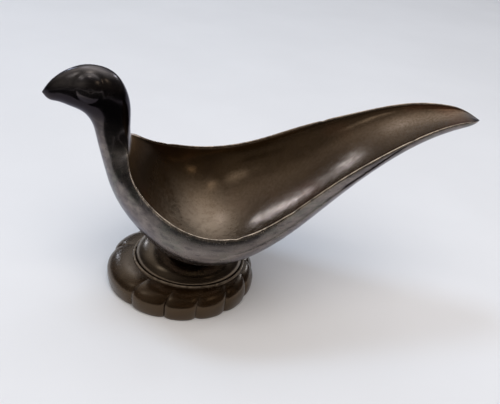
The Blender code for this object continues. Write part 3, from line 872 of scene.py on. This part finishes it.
@dataclass
class Fixings:
    """The stud that holds the pieces together, its washer and nut, and the index pin."""

    axis_x: float
    stud_radius: float = 2.5
    pitch: float = 0.8
    thread_depth: float = 0.35
    across_flats: float = 8.0

    def stud(self, low: float, high: float) -> Skin:
        """A threaded rod: the radius is a triangle wave of height less the turn, which makes a helix."""
        around, rows = 48, int((high - low) / self.pitch * 10)
        angle = np.linspace(0, 2 * math.pi, around, endpoint=False)
        height = np.linspace(low, high, rows)
        phase = height[:, None] / self.pitch - angle[None, :] / (2 * math.pi)
        wave = np.abs(2 * (phase % 1.0) - 1.0)
        fade = smooth_step(low, low + 0.8, height) * (1 - smooth_step(high - 0.8, high, height))
        radius = self.stud_radius - self.thread_depth * (1 - wave * fade[:, None])
        points = np.stack([radius * np.cos(angle), radius * np.sin(angle),
                           np.broadcast_to(height[:, None], radius.shape)], axis=-1)
        points = np.vstack([points.reshape(-1, 3), [[0, 0, low], [0, 0, high]]])
        return Skin(points, [tube_faces(rows, around, False)[:, ::-1]] + pole_fans(rows * around, around))

    def nut(self, low: float, high: float) -> Skin:
        """A hexagon nut: flats at a constant distance, corners cut by a cone at both ends, and a hole."""
        around = 144
        angle = np.linspace(0, 2 * math.pi, around, endpoint=False)
        sector = (angle + math.pi / 6) % (math.pi / 3) - math.pi / 6
        flats = self.across_flats / 2 / np.cos(sector)
        round_end = np.full(around, self.across_flats / 2 + 0.1)
        hole = self.stud_radius + GAP
        heights = np.linspace(low, high, 7)
        side = [(low, np.minimum(flats, round_end)), (low + 0.35, np.minimum(flats, round_end + 0.6)),
                (high - 0.35, np.minimum(flats, round_end + 0.6)), (high, np.minimum(flats, round_end))]
        bore = [(high, hole + 0.3)] + [(h, hole) for h in heights[-2:0:-1]] + [(low, hole + 0.3)]
        rings = [np.stack([r * np.cos(angle), r * np.sin(angle), np.full(around, h)], axis=-1)
                 for h, r in side + bore]
        points = np.array(rings)
        quads = tube_faces(len(rings), around, True)[:, ::-1]
        return Skin(points.reshape(-1, 3), [quads])

    def washer(self, low: float, high: float, radius: float) -> Skin:
        """A plain washer with softened edges."""
        hole = self.stud_radius + GAP
        return turned_skin([(hole, low), (radius - 0.15, low), (radius, low + 0.15), (radius, high - 0.15),
                            (radius - 0.15, high), (hole, high)], 96)

    def pin(self, low: float, high: float, radius: float, x: float) -> Skin:
        """A short pin with rounded ends."""
        profile = [(0.0, low)] + arc((radius - 0.3, low + 0.3), (0.3, 0.3), -90, 0, 5)
        profile += arc((radius - 0.3, high - 0.3), (0.3, 0.3), 0, 90, 5) + [(0.0, high)]
        return turned_skin(profile, 40, centre=(x, 0.0))

    def build(self, finish: bpy.types.Material) -> None:
        """Builds each fixing inside the box of its CAD node."""
        pin_low, pin_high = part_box("index_pin")
        pin_x = (pin_low[0] + pin_high[0]) / 2 / MM - self.axis_x / MM
        pieces = (
            ("stud", "centre_stud", self.stud(*heights_mm("centre_stud"))),
            ("nut", "foot_nut", self.nut(*heights_mm("foot_nut"))),
            ("washer", "foot_washer", self.washer(*heights_mm("foot_washer"), width_mm("foot_washer") / 2)),
            ("pin", "index_pin", self.pin(*heights_mm("index_pin"), width_mm("index_pin") / 2, pin_x)),
        )
        for name, node, skin in pieces:
            place(skin.to_object(name, self.axis_x, 30.0), finish, node)


def heights_mm(node: str) -> tuple[float, float]:
    """Lowest and highest point of a CAD node, in mm."""
    low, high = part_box(node)
    return low[2] / MM, high[2] / MM


def width_mm(node: str) -> float:
    """Width of a CAD node across Y, in mm."""
    low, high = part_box(node)
    return (high[1] - low[1]) / MM


# --- Studio ---

def direction(azimuth: float, elevation: float) -> np.ndarray:
    """Unit vector towards an azimuth, anticlockwise from +X, and an elevation, both in degrees."""
    a, e = math.radians(azimuth), math.radians(elevation)
    return np.array([math.cos(a) * math.cos(e), math.sin(a) * math.cos(e), math.sin(e)])


def level_sheet(name: str, corners: Sequence[Flat], height: float,
                material: bpy.types.Material) -> bpy.types.Object:
    """A flat polygon of the stage, in metres, facing up where its corners run anticlockwise."""
    mesh = bpy.data.meshes.new(name)
    mesh.from_pydata([(x, y, height) for x, y in corners], [], [tuple(range(len(corners)))])
    mesh.materials.append(material)
    sheet = linked(name, mesh)
    return sheet


@dataclass(frozen=True)
class SoftLight:
    """A square soft light aimed at the dish. Reflections show the room's patches of light instead."""

    name: str
    azimuth: float
    elevation: float
    distance: float
    size: float
    power: float
    colour: Colour = (1.0, 1.0, 1.0)

    def build(self, aim: Point) -> None:
        """Hangs the light at its direction and distance from the aim point, facing it."""
        lamp = bpy.data.lights.new(self.name, "AREA")
        lamp.shape, lamp.size = "SQUARE", self.size
        lamp.energy, lamp.color = self.power, self.colour
        light = linked(self.name, lamp)
        away = direction(self.azimuth, self.elevation)
        light.location = tuple(np.array(aim) + away * self.distance)
        light.rotation_euler = (math.pi / 2 - math.radians(self.elevation), 0.0,
                                math.pi / 2 + math.radians(self.azimuth))
        light.visible_glossy = False


@dataclass(frozen=True)
class Glow:
    """A soft patch of light in the room: its brightness falls off as exp(tightness (cos(angle) - 1))."""

    azimuth: float
    elevation: float
    tightness: float
    strength: float
    colour: Colour = (1.0, 1.0, 1.0)

    def add_to(self, tree: bpy.types.NodeTree, view: Socket, total: Socket) -> Socket:
        """Adds the patch to the room's light.

        Args:
            tree: the room's nodes.
            view: the direction looked in.
            total: the light so far.

        Returns:
            The light with this patch in it.
        """
        towards = tuple(direction(self.azimuth, self.elevation))
        shine = tuple(c * self.strength for c in self.colour)
        dot = step(tree, "ShaderNodeVectorMath", "DOT_PRODUCT", view, towards)
        power = step(tree, "ShaderNodeMath", "MULTIPLY_ADD", dot.outputs["Value"], self.tightness,
                     -self.tightness)
        fall = step(tree, "ShaderNodeMath", "EXPONENT", power.outputs["Value"])
        add = step(tree, "ShaderNodeVectorMath", "MULTIPLY_ADD", fall.outputs["Value"], shine, total)
        return add.outputs["Vector"]


@dataclass
class Studio:
    """Pale floor, soft lights and the camera."""

    aim: Point = (-0.003, 0.0, 0.0417)
    camera_azimuth: float = -100.0
    camera_elevation: float = 28.6
    camera_roll: float = 8.1
    camera_distance: float = 0.3094
    lens: float = 50.4
    floor_size: float = 6.0
    floor_colour: Colour = (0.80, 0.79, 0.81)
    room_colour: Colour = (0.035, 0.032, 0.032)
    flag_colours: tuple[Colour, Colour] = ((0.03, 0.03, 0.03), (0.05, 0.05, 0.05))
    flag_corners: tuple[Flat, ...] = ((-1.2, -0.11), (-0.02, -0.09), (0.04, -0.075), (0.08, -0.088),
                                      (0.13, -0.12), (0.17, -0.09), (0.6, -0.02), (0.6, -1.2), (-1.2, -1.2))
    lights: tuple[SoftLight, ...] = (
        SoftLight("fill_overhead", -85.0, 60.0, 1.5, 1.4, 18.5, (1.0, 0.955, 0.89)),
        SoftLight("side_window", 138.0, 68.0, 1.4, 0.35, 4.5, (0.62, 0.80, 1.0)),
    )
    glows: tuple[Glow, ...] = (
        # azimuth, elevation, tightness, strength, colour
        Glow(78.0, 60.0, 9.0, 1.30, (0.93, 0.98, 1.05)),
        Glow(108.0, 46.0, 26.0, 0.48),
        Glow(108.0, 45.0, 220.0, 1.4, (0.82, 0.95, 1.20)),
        Glow(145.0, 40.0, 30.0, 0.36),
        Glow(50.0, 28.0, 60.0, 0.3),
        Glow(-150.0, 30.0, 7.0, 0.16),
        Glow(120.0, 6.0, 14.0, 0.12, (0.95, 0.97, 1.0)),
        Glow(-160.0, 84.0, 260.0, 2.0),
        Glow(-175.0, 52.0, 120.0, 1.5, (0.90, 0.95, 1.0)),
        Glow(-42.0, 48.0, 260.0, 1.3, (1.0, 0.86, 0.66)),
        Glow(116.5, 20.0, 2200.0, 26.0, (0.78, 0.95, 1.25)),
        Glow(51.0, 25.0, 900.0, 16.0, (0.85, 0.97, 1.15)),
    )

    def floor(self) -> None:
        """A flat pale floor with a very slight cloth-like unevenness of tone."""
        half = self.floor_size / 2
        bench = NodeBench("pale_floor")
        tone = bench.band(bench.noise(9.0, 3.0), 0.3, 0.7)
        darker = tuple(c * 0.97 for c in self.floor_colour)
        colour = bench.mix(tone, darker, self.floor_colour)
        bench.feed(Base_Color=colour, Roughness=0.9, Specular_IOR_Level=0.15)
        corners = ((-half, -half), (half, -half), (half, half), (-half, half))
        level_sheet("floor", corners, 0.0, bench.material)

    def flag(self) -> None:
        """A dark card low in front of the dish that only reflections see, like a studio's black flag."""
        bench = NodeBench("black_card")
        bench.feed(Base_Color=bench.mix(bench.noise(20.0), *self.flag_colours), Roughness=1.0)
        card = level_sheet("black_flag", self.flag_corners[::-1], MM, bench.material)
        card.visible_camera = card.visible_diffuse = card.visible_shadow = False

    def room(self) -> None:
        """A dim room with soft patches of light, the brightest beyond the dish and overhead."""
        world = bpy.data.worlds.new("room")
        world.use_nodes = True
        bpy.context.scene.world = world
        tree = world.node_tree
        view = tree.nodes.new("ShaderNodeTexCoord").outputs["Generated"]
        base = tree.nodes.new("ShaderNodeCombineXYZ")
        for socket, value in zip(base.inputs, self.room_colour):
            socket.default_value = value
        total = base.outputs["Vector"]
        for glow in self.glows:
            total = glow.add_to(tree, view, total)
        tree.links.new(total, tree.nodes["Background"].inputs["Color"])

    def camera(self) -> None:
        """A camera on a sphere round the aim point, rolled about its own line of sight."""
        back = direction(self.camera_azimuth, self.camera_elevation)
        right = np.cross([0.0, 0.0, 1.0], back)
        right /= np.linalg.norm(right)
        up = np.cross(back, right)
        roll = math.radians(self.camera_roll)
        turned_right = math.cos(roll) * right + math.sin(roll) * up
        turned_up = -math.sin(roll) * right + math.cos(roll) * up
        data = bpy.data.cameras.new("camera")
        data.lens = self.lens
        data.sensor_width = 36.0
        data.clip_start = 0.01
        eye = linked("camera", data)
        pose = Matrix(np.array([turned_right, turned_up, back]).T.tolist()).to_4x4()
        pose.translation = np.array(self.aim) + back * self.camera_distance
        eye.matrix_world = pose
        bpy.context.scene.camera = eye

    def build(self) -> None:
        """Builds the floor, the lights and the camera."""
        self.floor()
        self.flag()
        self.room()
        for light in self.lights:
            light.build(self.aim)
        self.camera()
        bpy.context.scene.view_settings.view_transform = "Standard"


def main() -> None:
    """Builds the studio and every piece in order."""
    logging.basicConfig(level=logging.INFO, format="%(name)s %(message)s")
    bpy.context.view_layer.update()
    stud_low, stud_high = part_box("centre_stud")
    axis_x = (stud_low[0] + stud_high[0]) / 2
    ring_height = heights_mm("lobed_foot")[1]
    collar_bottom, collar_top = heights_mm("pedestal_collar")
    spigot_bottom = heights_mm("bird_bowl")[0]

    Studio().build()
    BirdCasting(axis_x, ring_height).build(PatinaBronze("bird_patina").build(), collar_top, spigot_bottom)
    # the collar's darker browns are painted shade, for its place under the bowl
    collar_finish = PatinaBronze("collar_shaded_patina", dark=COLLAR_SHADED_BROWNS[0], brown=COLLAR_SHADED_BROWNS[1],
                                 tarnish=COLLAR_SHADED_BROWNS[0], metallic=0.0, glaze=FOOT_GLAZE,
                                 roughness=(0.20, 0.26), pits=0.6)
    foot_finish = PatinaBronze("foot_patina", dark=FOOT_BROWNS[0], brown=FOOT_BROWNS[1],
                               tarnish=FOOT_BROWNS[0], metallic=0.0, ior=1.75, glaze=FOOT_GLAZE)
    CollarTurning(axis_x, collar_bottom, collar_top, width_mm("pedestal_collar") / 2,
                  ring_height - GAP).build(collar_finish.build())
    FootCasting(axis_x, ring_height).build(foot_finish.build())
    Fixings(axis_x).build(DullSteel("dull_steel").build())


if __name__ == "__main__":
    main()
